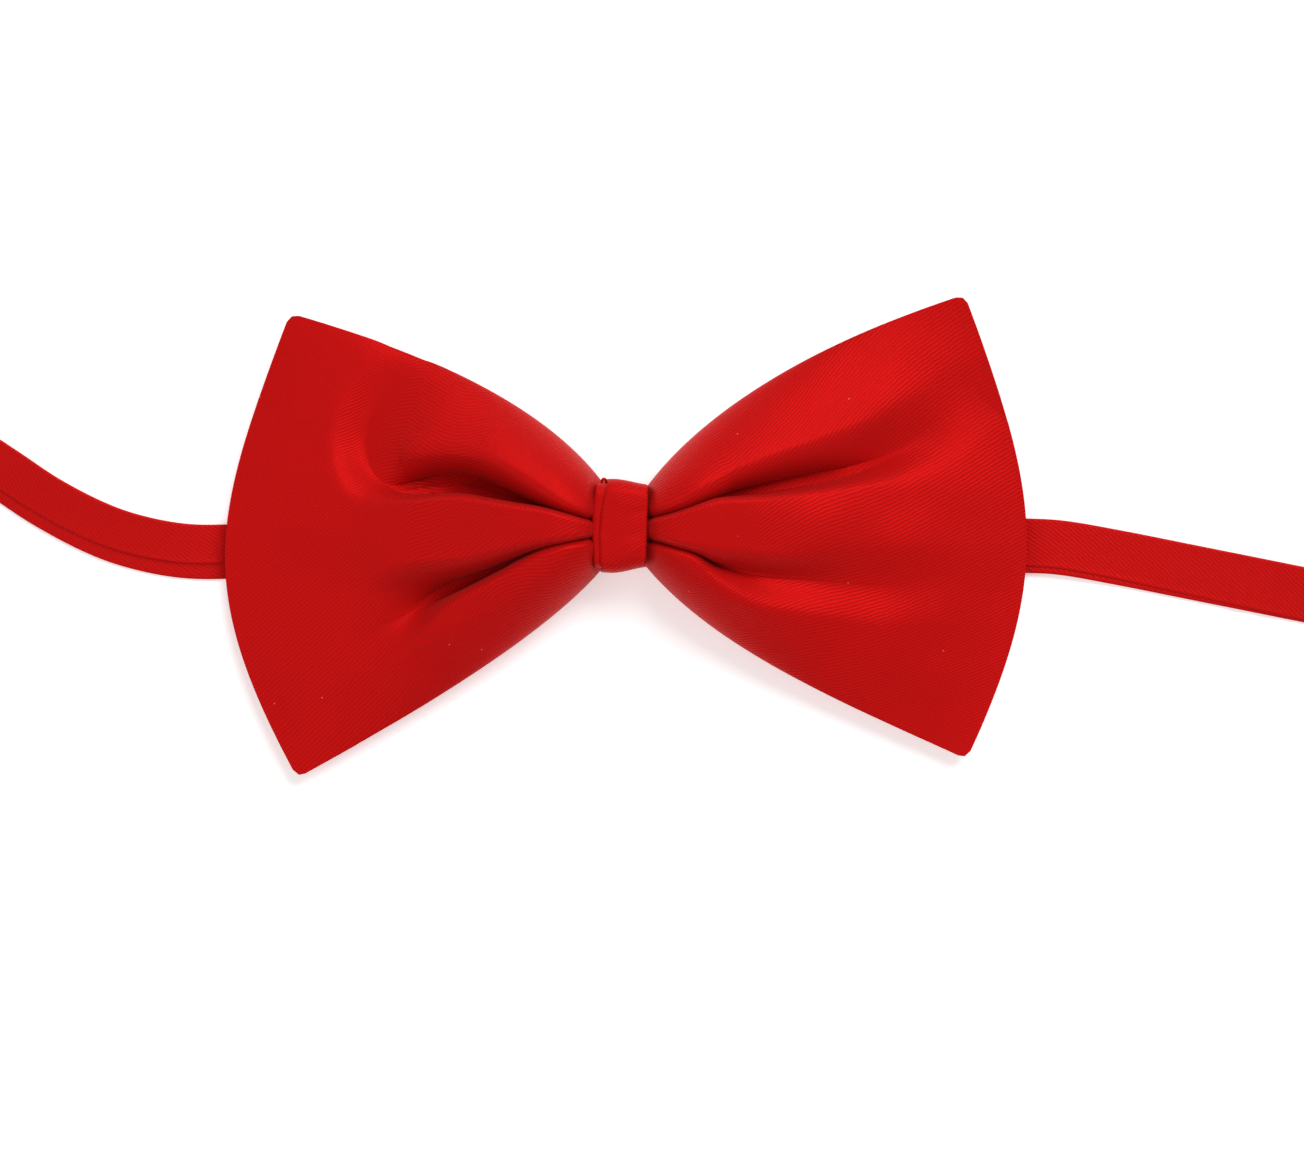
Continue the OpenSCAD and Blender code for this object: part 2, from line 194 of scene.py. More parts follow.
def make_satin(name, light, dark):
    """Red satin: fine diagonal twill on the cloth's own directions, soft patches, specks and sheen."""
    n = Nodes(name)
    cloth = n.add("ShaderNodeUVMap", uv_map="cloth").outputs["UV"]
    place = n.add("ShaderNodeTexCoord").outputs["Object"]
    parts = n.add("ShaderNodeSeparateXYZ", {"Vector": cloth})
    along = n.math("MULTIPLY", parts.outputs["X"], math.cos(TWILL_SLOPE) * 2 * math.pi / TWILL_PITCH)
    across = n.math("MULTIPLY", parts.outputs["Y"], math.sin(TWILL_SLOPE) * 2 * math.pi / TWILL_PITCH)
    wander = n.add("ShaderNodeTexNoise", {"Vector": place, "Scale": 700.0, "Detail": 2.0})
    phase = n.math("ADD", n.math("ADD", along, across), n.math("MULTIPLY", wander.outputs["Fac"], 5.0))
    twill = n.math("MULTIPLY_ADD", n.math("SINE", phase), 0.5, 0.5)
    patches = n.add("ShaderNodeTexNoise", {"Vector": place, "Scale": 45.0, "Detail": 3.0, "Roughness": 0.55})
    grain = n.add("ShaderNodeTexNoise", {"Vector": place, "Scale": 2600.0, "Detail": 2.0, "Roughness": 0.7})
    specks = n.add("ShaderNodeTexVoronoi", {"Vector": place, "Scale": 420.0, "Randomness": 1.0})
    near = n.math("LESS_THAN", specks.outputs["Distance"], 0.05)
    speck_colour = n.add("ShaderNodeSeparateColor", {"Color": specks.outputs["Color"]})
    rare = n.math("GREATER_THAN", speck_colour.outputs[0], 0.9)
    speck = n.math("MULTIPLY", near, rare)
    tone = n.math("ADD", n.math("MULTIPLY", twill, 0.6), n.math("MULTIPLY", patches.outputs["Fac"], 0.5))
    tone = n.math("ADD", tone, n.math("MULTIPLY", n.math("SUBTRACT", grain.outputs["Fac"], 0.5), 0.5))
    colour = n.blend(tone, (*dark, 1), (*light, 1))
    colour = n.blend(n.math("MULTIPLY", speck, 0.5), colour, (0.9, 0.22, 0.18, 1))
    n.plug("Base Color", colour)
    height = n.math("ADD", n.math("MULTIPLY", twill, 0.6), n.math("MULTIPLY", grain.outputs["Fac"], 0.5))
    bump = n.add("ShaderNodeBump", {"Height": height, "Strength": 0.6, "Distance": 0.00008})
    n.plug("Normal", bump.outputs["Normal"])
    n.shader.inputs["Roughness"].default_value = 0.42
    n.shader.inputs["Specular IOR Level"].default_value = 0.08
    n.shader.inputs["Metallic"].default_value = 0.15
    n.shader.inputs["Specular Tint"].default_value = (1.0, 0.1, 0.08, 1)
    n.shader.inputs["Sheen Weight"].default_value = 0.15
    n.shader.inputs["Sheen Roughness"].default_value = 0.45
    n.shader.inputs["Sheen Tint"].default_value = (1.0, 0.12, 0.1, 1)
    return n.material


SATIN = make_satin("bow_satin", (0.56, 0.0062, 0.0062), (0.40, 0.0050, 0.0050))
BAND_SATIN = make_satin("band_satin", (0.56, 0.0074, 0.0072), (0.41, 0.0056, 0.0054))


def make_interlining():
    """Matte non-woven fibre felt."""
    n = Nodes("interlining")
    place = n.add("ShaderNodeTexCoord").outputs["Object"]
    fibres = n.add("ShaderNodeTexNoise", {"Vector": place, "Scale": 1500.0, "Detail": 4.0})
    n.plug("Base Color", n.blend(fibres.outputs["Fac"], (0.62, 0.6, 0.56, 1), (0.86, 0.84, 0.8, 1)))
    bump = n.add("ShaderNodeBump", {"Height": fibres.outputs["Fac"], "Strength": 0.5, "Distance": 0.0001})
    n.plug("Normal", bump.outputs["Normal"])
    n.shader.inputs["Roughness"].default_value = 0.9
    return n.material


def make_thread():
    """Spun thread with its twist."""
    n = Nodes("thread")
    place = n.add("ShaderNodeTexCoord").outputs["Object"]
    twist = n.add("ShaderNodeTexWave", {"Vector": place, "Scale": 900.0, "Distortion": 1.5},
                  bands_direction="DIAGONAL")
    n.plug("Base Color", n.blend(twist.outputs["Fac"], (0.3, 0.006, 0.006, 1), (0.55, 0.012, 0.012, 1)))
    bump = n.add("ShaderNodeBump", {"Height": twist.outputs["Fac"], "Strength": 0.6, "Distance": 0.00005})
    n.plug("Normal", bump.outputs["Normal"])
    n.shader.inputs["Roughness"].default_value = 0.7
    n.shader.inputs["Specular IOR Level"].default_value = 0.15
    return n.material


def make_metal():
    """Polished nickel with faint brushing and handling marks."""
    n = Nodes("nickel")
    place = n.add("ShaderNodeTexCoord").outputs["Object"]
    marks = n.add("ShaderNodeTexNoise", {"Vector": place, "Scale": 2600.0, "Detail": 6.0, "Roughness": 0.6})
    n.plug("Base Color", n.blend(marks.outputs["Fac"], (0.46, 0.455, 0.44, 1), (0.58, 0.575, 0.56, 1)))
    n.plug("Roughness", n.math("MULTIPLY_ADD", marks.outputs["Fac"], 0.14, 0.14))
    bump = n.add("ShaderNodeBump", {"Height": marks.outputs["Fac"], "Strength": 0.1, "Distance": 0.00001})
    n.plug("Normal", bump.outputs["Normal"])
    n.shader.inputs["Metallic"].default_value = 1.0
    return n.material


INTERLINING = make_interlining()
THREAD = make_thread()
NICKEL = make_metal()


# ---------------------------------------------------------------- strips, wires and threads

BAND_WIDTH = 8.2 * MM
BAND_THICK = 0.62 * MM


def lengths_along(path):
    return np.concatenate([[0], np.cumsum(np.linalg.norm(np.diff(path, axis=0), axis=1))])


def directions(path):
    way = np.gradient(path, axis=0)
    return way / np.linalg.norm(way, axis=1)[:, None]


def fold_arc(side, radius, flip):
    """The round fold at one side of a strip: across and up, from its underside to its top or back."""
    turns = np.linspace(0, math.pi, 9)
    arc = [(side - math.copysign(radius - radius * math.sin(a), side), -radius * math.cos(a)) for a in turns]
    return arc[::-1] if flip else arc


def band_section(lap):
    """The folded strip seen from its end, across and up. lap is its lapped edge's share of the width."""
    half, thick = BAND_WIDTH / 2, BAND_THICK / 2
    step = 0.16 * MM
    edge = -half + lap * BAND_WIDTH
    inset = thick + 0.12 * MM
    left = np.array(fold_arc(-half, thick, False))
    left[:, 1] -= step * smooth((left[:, 1] + thick) / (2 * thick))
    lapped = [(mix(-half + inset, edge - 0.1 * MM, t), thick - step) for t in np.linspace(0, 1, 4)]
    lapped += [(edge - 0.07 * MM, thick - 0.6 * step), (edge, thick), (edge + 0.15 * MM, thick + 0.05 * MM),
               (edge + 0.4 * MM, thick + 0.02 * MM)]
    top = [(mix(edge + 0.7 * MM, half - inset, t), thick) for t in np.linspace(0, 1, 12)]
    right = fold_arc(half, thick, True)
    under = [(mix(half - inset, -half + inset, t), -thick) for t in np.linspace(0, 1, 12)]
    return np.vstack([left, lapped, top, right, under])


def sweep_band(name, path, lap, roll=None, over=None):
    """The neckband's strip along a path.

    lap is the lapped edge's share of the width, roll turns the strip about the path in degrees, and
    over fixes the direction of its width.
    """
    path = np.asarray(path, float)
    way = directions(path)
    if over is None:
        over = np.cross((0, 0, 1.0), way)
        over /= np.linalg.norm(over, axis=1)[:, None]
    over = np.broadcast_to(over, path.shape)
    up = np.cross(way, over)
    turn = np.radians(np.zeros(len(path)) if roll is None else roll)
    lap = np.broadcast_to(lap, len(path))
    length = lengths_along(path)
    points, cloth = [], []
    for i in range(len(path)):
        section = band_section(float(lap[i]))
        c, s = math.cos(turn[i]), math.sin(turn[i])
        across = over[i] * c + up[i] * s
        rise = up[i] * c - over[i] * s
        points.append(path[i] + section[:, :1] * across + section[:, 1:] * rise)
        cloth.append(np.stack([np.full(len(section), length[i]), lengths_along(section)], axis=1))
    rows, columns = len(points), len(points[0])
    faces = grid_faces(rows, columns, close_columns=True)
    faces.append(tuple(range(columns)))
    faces.append(tuple((rows - 1) * columns + j for j in range(columns - 1, -1, -1)))
    piece = new_piece(name, np.array(points), faces, BAND_SATIN, np.array(cloth))
    crisp_ends(piece, rows, columns)
    return piece


def crisp_ends(piece, rows, columns):
    """Keeps the shading of a swept piece's flat ends apart from its sides."""
    last = (rows - 1) * columns
    for edge in piece.data.edges:
        a, b = edge.vertices
        if (a < columns and b < columns) or (a >= last and b >= last):
            edge.use_edge_sharp = True


def tube_grid(path, radius, sides, closed=False):
    """Points of a round tube along a path, with a frame that doesn't twist."""
    path = np.asarray(path, float)
    way = np.roll(path, -1, axis=0) - np.roll(path, 1, axis=0) if closed else np.gradient(path, axis=0)
    way /= np.linalg.norm(way, axis=1)[:, None]
    normal = np.cross(way[0], (0.3, 0.2, 0.93))
    rings = []
    for p, w in zip(path, way):
        normal = normal - w * normal.dot(w)
        normal /= np.linalg.norm(normal)
        other = np.cross(w, normal)
        turns = np.linspace(0, 2 * math.pi, sides, endpoint=False)[:, None]
        rings.append(p + radius * (np.cos(turns) * normal + np.sin(turns) * other))
    return np.array(rings)


def make_tubes(name, paths, radius, material, sides=12, closed=False):
    """One piece of round wires or threads along these paths."""
    points, faces = [], []
    for path in paths:
        grid = tube_grid(path, radius, sides, closed)
        rows = len(grid)
        base = sum(len(p) for p in points)
        shell = grid_faces(rows, sides, close_rows=closed, close_columns=True)
        if not closed:
            shell.append(tuple(range(sides - 1, -1, -1)))
            shell.append(tuple((rows - 1) * sides + j for j in range(sides)))
        faces += [tuple(base + k for k in face) for face in shell]
        points.append(grid.reshape(-1, 3))
    piece = new_piece(name, np.vstack(points), faces, material)
    outward_faces(piece)
    return piece


def outward_faces(piece):
    """Turns a closed mesh's faces so that they all look outwards."""
    shell = bmesh.new()
    shell.from_mesh(piece.data)
    bmesh.ops.recalc_face_normals(shell, faces=shell.faces)
    shell.to_mesh(piece.data)
    shell.free()


def settle(piece, body, slot, *nodes):
    """Lets a piece ride on a body, and lets it stand for these CAD nodes. slot is not used."""
    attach(piece, body)
    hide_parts(*nodes)


# ---------------------------------------------------------------- the neckband and its fittings

LOW = 0.5
HIGH = 1.5
# The route of part.scad's neckband, from the eye's loop to the adjusting run: x, y and z
BAND_ROUTE = [
    (-206, 26, LOW), (-190, 26, LOW), (-170, 26, LOW), (-150, 26, LOW), (-138, 25.7, LOW),
    (-127, 24.3, LOW), (-117, 21.6, LOW), (-108, 17.9, LOW), (-100, 13.6, LOW), (-93.5, 9.5, LOW),
    (-87, 5.2, LOW), (-80, 1.5, LOW), (-74, -0.7, LOW), (-67, -2.1, LOW), (-60, -2.3, LOW),
    (-48, -1.7, LOW), (-37, -0.6, LOW), (-26, 0.6, 1), (-16, 1.2, HIGH), (-8, 1.2, HIGH),
    (0, 1.2, HIGH), (8, 1.2, HIGH), (16, 1.1, HIGH), (26, 0.5, 1), (37, -0.4, LOW),
    (50, -1.2, LOW), (60, -1.4, LOW), (66, -1.8, LOW), (75, -3.4, LOW), (84, -5.2, LOW),
    (93, -7, LOW), (101, -8.6, LOW), (108, -9.9, LOW), (115, -10.9, LOW), (121, -11.4, LOW),
    (126, -11.5, LOW), (128, -11.5, LOW)]
RUN_Y = -11.5
EYE_Y = 26.0
EYE_X = -218.0
HOOK_X = 220.0
ADJUSTER_X = 202.0
# Heights of the middles of the eye's and the hook's bars, and of the adjuster's wire
BAR_Z = 1.5
ADJUSTER_Z = 2.9
# Radius of the strip's middle line round a bar, and round the adjuster's thinner one
FOLD_RADIUS = 1.1
TAIL_FOLD_RADIUS = 1.0
# The visual strip is split here, so that the part which crowds up behind the adjuster is long enough
SPLIT_X = 104.0
# Share of the strip's width that its lapped edge covers, at each x
LAP_X = [-210, -94, -60, 0, 60, 75, 100, 230]
LAP_SHARE = [0.24, 0.22, 0.3, 0.2, 0.13, 0.11, 0.05, 0.05]


def swell_at(x, centre, width, height):
    """A smooth bump."""
    return height * np.exp(-((x - centre) / width) ** 2)


def side_path(points, y, count):
    """A smooth path through x and z places at one y, in metres."""
    flat = through(points, count)
    return np.stack([flat[:, 0], np.full(count, y), flat[:, 1]], axis=1) * MM


def round_bar(x, z, radius, start, stop, count=7):
    """Places round a bar, at these angles in degrees from +X, up positive."""
    turns = np.radians(np.linspace(start, stop, count))
    return [(x + radius * math.cos(a), z + radius * math.sin(a)) for a in turns]


def make_neckband():
    """The strip's left run, its right run up to the split, and the rest up to the adjuster.

    Returns the three pieces, and the paths of the first two from the knot outwards.
    """
    climb = [(140, LOW), (160, LOW), (180, LOW), (192, LOW), (197.6, 0.55), (199.4, 1.5), (200.2, 3.1),
             (200.9, 4.4), (201.5, 4.74), (202, 4.75)]
    line = through(BAND_ROUTE + [(x, RUN_Y, z) for x, z in climb], 1200)
    middle = int(np.abs(line[:, 0]).argmin())
    split = int(np.abs(line[:, 0] - SPLIT_X).argmin())
    x = line[:, 0]
    near_table = np.clip((199 - np.abs(x)) / 2, 0, 1)
    line[:, 2] += near_table * (swell_at(x, -86, 13, 0.9) + swell_at(x, 66, 5, 0.4)
                                + swell_at(x, 92.5, 1.6, 0.28) + swell_at(x, 96.6, 1.5, 0.22)
                                + swell_at(x, 150, 24, 0.35) + swell_at(x, -165, 26, 0.45))
    roll = swell_at(x, -88, 16, 12) + swell_at(x, 67, 9, -3) + swell_at(x, 145, 22, 2.5)
    lap = np.interp(x, LAP_X, LAP_SHARE)
    line = line * MM
    made = []
    for name, low, high in (("neckband_left", 0, middle + 1), ("neckband_right", middle, split + 1),
                            ("adjusting_strip", split, len(line))):
        part = slice(low, high)
        made.append(sweep_band(name, line[part], lap[part], roll[part]))
    return (*made, line[:middle + 1][::-1], line[middle:split + 1])


def make_eye_loop():
    """The left end of the strip: round the eye's bar and back under itself."""
    places = [(-208.3, 0.42), (-211, 0.42), (-214, 0.42), (-216.4, 0.5)]
    places += round_bar(EYE_X, BAR_Z, FOLD_RADIUS, -75, -285, 9)
    places += [(-216.2, 2.25), (-213.4, 1.4), (-210.5, 1.12), (-208.2, 1.02), (-207, 0.7), (-206, LOW)]
    return sweep_band("eye_strip_loop", side_path(places, EYE_Y, 90), 0.24, over=(0, 1.0, 0))


def make_adjuster_fold():
    """The strip's tail: round the adjuster's centre bar and sewn down on itself."""
    places = [(211, 1.1), (208.5, 1.12), (205.6, 1.3), (203.8, 2.6)]
    places += round_bar(ADJUSTER_X, ADJUSTER_Z, TAIL_FOLD_RADIUS, 30, 320, 11)
    places += [(203.6, 1.0), (205.6, 0.46), (208.5, 0.42), (211, 0.42)]
    return sweep_band("adjuster_tail_fold", side_path(places, RUN_Y, 110), 0.05, over=(0, 1.0, 0))


def make_hook_loop():
    """The strip from the adjuster's top to the hook, round its bar and back to the sewn tail."""
    places = [(202, 4.75), (202.5, 4.74), (203.1, 4.4), (204, 3.5), (205, 2.5), (206.4, 1.95),
              (209, 1.86), (212, 1.8), (214, 1.3), (216, 1.6), (217.6, 2.4)]
    places += round_bar(HOOK_X, BAR_Z, FOLD_RADIUS, 120, -105, 9)
    places += [(218, 0.5), (216, 0.42), (213.5, 0.42), (211, 0.42)]
    return sweep_band("hook_strip_loop", side_path(places, RUN_Y, 130), 0.05, over=(0, 1.0, 0))


def corner_loop(low, high, radius, z):
    """A closed rectangle with round corners, as points of a wire's middle."""
    points = []
    corners = ((high[0], high[1], 0), (low[0], high[1], 90), (low[0], low[1], 180), (high[0], low[1], 270))
    for x, y, start in corners:
        cx = x - math.copysign(radius, x - (low[0] + high[0]) / 2)
        cy = y - math.copysign(radius, y - (low[1] + high[1]) / 2)
        for a in np.radians(np.linspace(start, start + 90, 8)):
            points.append((cx + radius * math.cos(a), cy + radius * math.sin(a), z))
    return points


def even_closed(points, count):
    """Points at even steps round a closed path."""
    loop = np.vstack([points, points[:1]])
    at = lengths_along(loop)
    steps = np.linspace(0, at[-1], count, endpoint=False)
    return np.stack([np.interp(steps, at, loop[:, k]) for k in range(3)], axis=1)


def make_slide_adjuster():
    """A bent wire frame with a centre bar."""
    half, rail, radius, corner = 4.2, 5.1, 0.6, 1.3
    frame_wire = corner_loop((ADJUSTER_X - half, RUN_Y - rail), (ADJUSTER_X + half, RUN_Y + rail), corner,
                             ADJUSTER_Z)
    wire = even_closed(np.array(frame_wire) * MM, 220)
    piece = make_tubes("adjuster_frame", [wire], radius * MM, NICKEL, sides=16, closed=True)
    ends = [(ADJUSTER_X, RUN_Y + side * rail, ADJUSTER_Z) for side in (-1, 1)]
    bar = np.linspace(*ends, 24) * MM
    centre = make_tubes("adjuster_centre_bar", [bar], radius * MM, NICKEL, sides=16)
    return piece, centre


def make_eye():
    """A wire ring with one straight side, which the strip's end is folded round."""
    radius, half, arm, corner = 0.7, 5.2, 4.0, 0.8
    arcs = ((-arm, 0.0, half, 90, 270, 40), (-corner, corner - half, corner, 270, 360, 8),
            (-corner, half - corner, corner, 0, 90, 8))
    places = []
    for x, y, turn_radius, start, stop, count in arcs:
        for a in np.radians(np.linspace(start, stop, count)):
            places.append((EYE_X + x + turn_radius * math.cos(a),
                           EYE_Y + y + turn_radius * math.sin(a), BAR_Z))
    wire = even_closed(np.array(places) * MM, 240)
    return make_tubes("eye_ring_wire", [wire], radius * MM, NICKEL, sides=18, closed=True)


def make_bar_tack(name, x, y, z):
    """A dense zigzag of thread across the strip, over two straight threads."""
    half, swing_reach, passes, thread_radius = 3.1, 0.9, 26, 0.11
    t = np.linspace(0, 1, passes * 14)
    swing = np.abs(((t * passes) % 2) - 1) * 2 - 1
    rise = 0.09 * np.cos(swing * math.pi / 2)
    paths = [np.stack([x + swing_reach * swing, mix(y - half, y + half, t), z + rise], axis=1) * MM]
    for straight_x in (x + 0.5, x - 0.5):
        paths.append(np.linspace((straight_x, y - half, z - 0.05), (straight_x, y + half, z - 0.05), 60) * MM)
    return make_tubes(name, paths, thread_radius * MM, THREAD, sides=7)


def finish_hook(hook):
    """Gives the CAD hook its nickel and rounds its edges."""
    hook.data.materials.clear()
    hook.data.materials.append(NICKEL)
    bevel = hook.modifiers.new("soft_edges", "BEVEL")
    bevel.width = 0.18 * MM
    bevel.segments = 3
    bevel.limit_method = "ANGLE"
    bevel.angle_limit = math.radians(40)


band_left, band_right, adjusting_strip, left_path, right_path = make_neckband()
eye_strip, tail_fold, hook_strip = make_eye_loop(), make_adjuster_fold(), make_hook_loop()
adjuster_frame, adjuster_bar = make_slide_adjuster()
eye_wire = make_eye()
TACK_Z = 1.44
eye_tack = make_bar_tack("eye_bar_tack", -209.8, EYE_Y, TACK_Z)
tail_tack = make_bar_tack("adjuster_bar_tack", 209.2, RUN_Y, TACK_Z)
hook_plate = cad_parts["hook"]
finish_hook(hook_plate)

settle(band_left, "band", "band_satin", "neckband")
settle(band_right, "band", "band_satin", "neckband")
settle(eye_strip, "band", "band_satin", "eye_loop")
settle(eye_tack, "band", "thread", "eye_stitches")
settle(tail_fold, "adjuster", "band_satin", "adjuster_fold")
settle(tail_tack, "adjuster", "thread", "adjuster_stitches")
settle(adjuster_frame, "adjuster", "metal", "slide_adjuster")
settle(adjuster_bar, "adjuster", "metal", "slide_adjuster")
settle(eye_wire, "eye", "metal", "eye")

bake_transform(adjusting_strip)
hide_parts("adjusting_run")
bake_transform(hook_strip)
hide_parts("hook_loop")


# ---------------------------------------------------------------- the wings

# Each wing's edges, as curves through four control points in millimetres: the top and bottom
# edges run from the knot to a tip, and the outer edge from the bottom tip to the top one.
# A crease runs out from the knot as a pocket pressed into the front. Its rows are x, y, depth, then
# above the line how far its floor reaches and how wide the cloth rounds over from it, the same two
# below the line, and how soft it is, from 0 for a crisp lip to 1 for a gentle valley.
# A swell is x, y, its two half widths, its turn in degrees and its height.
WINGS = {
    "left": {
        "side": -1,
        "mouth": 0.02,
        "top": [(-3.9, 8.2), (-13.2, 20.3), (-32, 28), (-50.3, 33.4)],
        "bottom": [(-3.9, -4.9), (-12.2, -14.6), (-31.5, -26.2), (-49.2, -36.2)],
        "outer": [(-49.2, -36.2), (-64.8, -7.3), (-62, 2.2), (-50.3, 33.4)],
        "creases": [
            [(-1, 1.6, 3.4, 0.1, 1.2, 0.1, 0.9, 0.0), (-5.1, 2.3, 4.4, 0.15, 1.6, 0.1, 0.9, 0.0),
             (-8.8, 3.2, 5.4, 0.2, 2.0, 0.15, 1.0, 0.0), (-12.5, 4.3, 6.6, 0.4, 2.6, 0.3, 1.1, 0.0),
             (-16.1, 5.4, 7.8, 0.9, 3.2, 0.8, 1.2, 0.0), (-19.9, 6.6, 8.6, 1.5, 3.6, 1.3, 1.3, 0.0),
             (-23.5, 7.5, 8.8, 1.8, 4.0, 1.5, 1.4, 0.0), (-27.2, 7.7, 8.4, 1.8, 4.4, 1.5, 1.5, 0.05),
             (-30.8, 7.2, 7.0, 1.5, 5.0, 1.2, 1.6, 0.2), (-34.4, 6.9, 4.8, 0.8, 6.5, 0.4, 2.0, 0.6),
             (-37.6, 9.2, 3.5, 0.1, 9.0, 0.1, 4.5, 1.0), (-38.6, 14.0, 3.0, 0.1, 10.0, 0.1, 5.5, 1.0),
             (-37.2, 19.0, 2.1, 0.1, 10.0, 0.1, 6.0, 1.0), (-34.0, 23.6, 0.9, 0.1, 9.0, 0.1, 6.0, 1.0),
             (-30.5, 27.0, 0.0, 0.1, 8.0, 0.1, 4.0, 1.0)],
            [(-1, -0.1, 3.4, 0.1, 0.9, 0.1, 1.2, 0.0), (-5.1, -0.35, 4.0, 0.15, 1.0, 0.1, 1.4, 0.0),
             (-8.8, -1.0, 4.6, 0.2, 1.3, 0.1, 1.5, 0.0), (-11.8, -1.8, 5.0, 0.4, 1.7, 0.1, 1.6, 0.0),
             (-15.0, -3.1, 6.6, 0.6, 2.2, 0.2, 1.6, 0.0), (-18.7, -5.0, 7.8, 0.9, 2.8, 0.3, 1.6, 0.0),
             (-22.4, -6.9, 8.0, 1.4, 3.4, 0.3, 1.6, 0.05), (-26.2, -8.7, 7.2, 1.9, 4.4, 0.3, 1.8, 0.15),
             (-29.9, -10.4, 5.2, 1.2, 6.6, 0.2, 2.6, 0.6), (-33.6, -12.0, 3.0, 0.4, 8.0, 0.2, 4.5, 1.0),
             (-38.0, -13.6, 1.2, 0.8, 8.0, 0.2, 5.5, 1.0), (-43.0, -15.0, 0.0, 0.5, 8.0, 0.2, 6.0, 1.0)]],
        "swells": [(-52, 8, 5, 9, 0, 0.5), (-47, -23, 6, 9, 20, 0.5), (-44, -4, 6, 4, 10, -0.5)],
    },
    "right": {
        "side": 1,
        "mouth": 0.0,
        "top": [(3.3, 7.2), (12.9, 20.2), (32, 30), (50.7, 36.2)],
        "bottom": [(3.3, -4.5), (13.6, -16.7), (32, -24.5), (51, -33.4)],
        "outer": [(51, -33.4), (64, -5.6), (62, 5.9), (50.7, 36.2)],
        "creases": [
            [(0.5, 2.2, 3.0, 0.1, 1.1, 0.1, 0.9, 0.0), (3.5, 2.6, 3.4, 0.1, 1.4, 0.1, 0.9, 0.1),
             (8.0, 3.6, 3.8, 0.15, 2.0, 0.1, 1.0, 0.1), (13.2, 5.4, 5.0, 0.4, 2.8, 0.2, 1.1, 0.0),
             (16.5, 5.9, 6.8, 1.2, 3.2, 0.3, 1.2, 0.0), (20.6, 6.3, 7.4, 1.8, 3.8, 0.3, 1.3, 0.05),
             (24.9, 7.0, 7.0, 2.0, 4.4, 0.3, 1.4, 0.1), (29.2, 7.9, 6.2, 2.0, 5.0, 0.3, 1.7, 0.15),
             (33.5, 9.2, 5.0, 1.4, 5.8, 0.3, 2.2, 0.4), (37.8, 10.9, 4.0, 0.9, 6.2, 0.3, 3.0, 0.7),
             (42.0, 13.3, 2.7, 0.4, 6.6, 0.2, 4.0, 0.9), (46.5, 16.6, 1.4, 0.3, 6.6, 0.2, 6.0, 1.0),
             (51.2, 20.4, 0.7, 0.3, 6.0, 0.2, 6.0, 1.0), (56.0, 24.0, 0.0, 0.3, 6.0, 0.2, 6.0, 1.0)],
            [(0.5, -0.3, 3.2, 0.1, 0.9, 0.1, 1.2, 0.0), (3.5, -0.55, 3.8, 0.1, 1.1, 0.1, 1.3, 0.0),
             (7.7, -1.8, 4.6, 0.2, 1.6, 0.1, 1.4, 0.0), (10.6, -2.9, 5.0, 0.4, 2.0, 0.1, 1.5, 0.0),
             (13.2, -4.3, 4.4, 0.6, 2.6, 0.2, 2.2, 0.1), (16.6, -5.2, 3.8, 0.6, 3.0, 0.3, 3.6, 0.35),
             (20.6, -5.9, 3.2, 0.5, 3.2, 0.3, 5.0, 0.6), (26.4, -6.3, 2.8, 0.5, 3.6, 0.3, 5.4, 0.8),
             (32.0, -6.8, 2.2, 0.5, 4.6, 0.3, 5.6, 1.0), (38.0, -7.2, 1.6, 0.5, 5.6, 0.3, 6.0, 1.0),
             (44.0, -7.4, 0.6, 0.5, 6.0, 0.3, 6.0, 1.0), (49.0, -7.4, 0.0, 0.5, 6.0, 0.3, 6.0, 1.0)]],
        "swells": [(53, 5, 5, 9, 0, 0.4), (41, -21, 8, 6, -25, 0.4), (18, -9.5, 6, 2.6, -30, 0.7)],
    },
}

# Depth of a wing at the knot, heights of its sewn line, and how far its plies puff out from it
KNOT_HALF_DEPTH = 4.4
SEAM_AT_KNOT = 6.9
SEAM_AT_TIP = 3.3
FRONT_PUFF = 5.8
BACK_PUFF = 4.0
PLY = 0.26
CORE_THICK = 0.3
# How far a pocket's lip leans over it, and how far the plies reach inside the wrap
OVERHANG = 0.7
TUCK = 3.2
# Grid steps of the plies, out from the knot and from the bottom edge to the top one
FRONT_STEPS = (240, 320)
BACK_STEPS = (110, 150)
# Edges between faces at more than this angle stay crisp
CREASE_ANGLE = math.radians(72)
# The back stays above the neckband, which is high near the knot: height over it at each distance out
BAND_CLEAR_X = (26, 52)
BAND_CLEAR_Z = (2.4, 1.4)
TABLE_CLEAR_Z = 0.12
# Where the back's pleats are, as a share of its height, and how deep they are pressed
BACK_PLEATS = (0.33, 0.66)
BACK_PLEAT_DEPTH = 2.8


def crossing_z(u):
    """Height of the sewn line between the front and back plies."""
    return mix(SEAM_AT_KNOT, SEAM_AT_TIP, smooth(u))


def wing_plan(wing, u, v):
    """Places on a wing seen from the front, u from the knot to the outer edge and v from bottom to top."""
    top, bottom, outer = (bezier(wing[k], t) / MM for k, t in (("top", u), ("bottom", u), ("outer", v)))
    low_in, low_out = (np.array(wing["bottom"][i], float) for i in (0, 3))
    high_in, high_out = (np.array(wing["top"][i], float) for i in (0, 3))
    u, v = u[..., None], v[..., None]
    inner = mix(low_in, high_in, v)
    corners = mix(mix(low_in, low_out, u), mix(high_in, high_out, u), v)
    return mix(bottom, top, v) + mix(inner, outer, u) - corners


def crown(v, power):
    """Height across a wing as a share of its middle's: round, and steep at the sewn edges."""
    return np.clip(1 - np.abs(2 * v - 1) ** 2.3, 0, 1) ** power


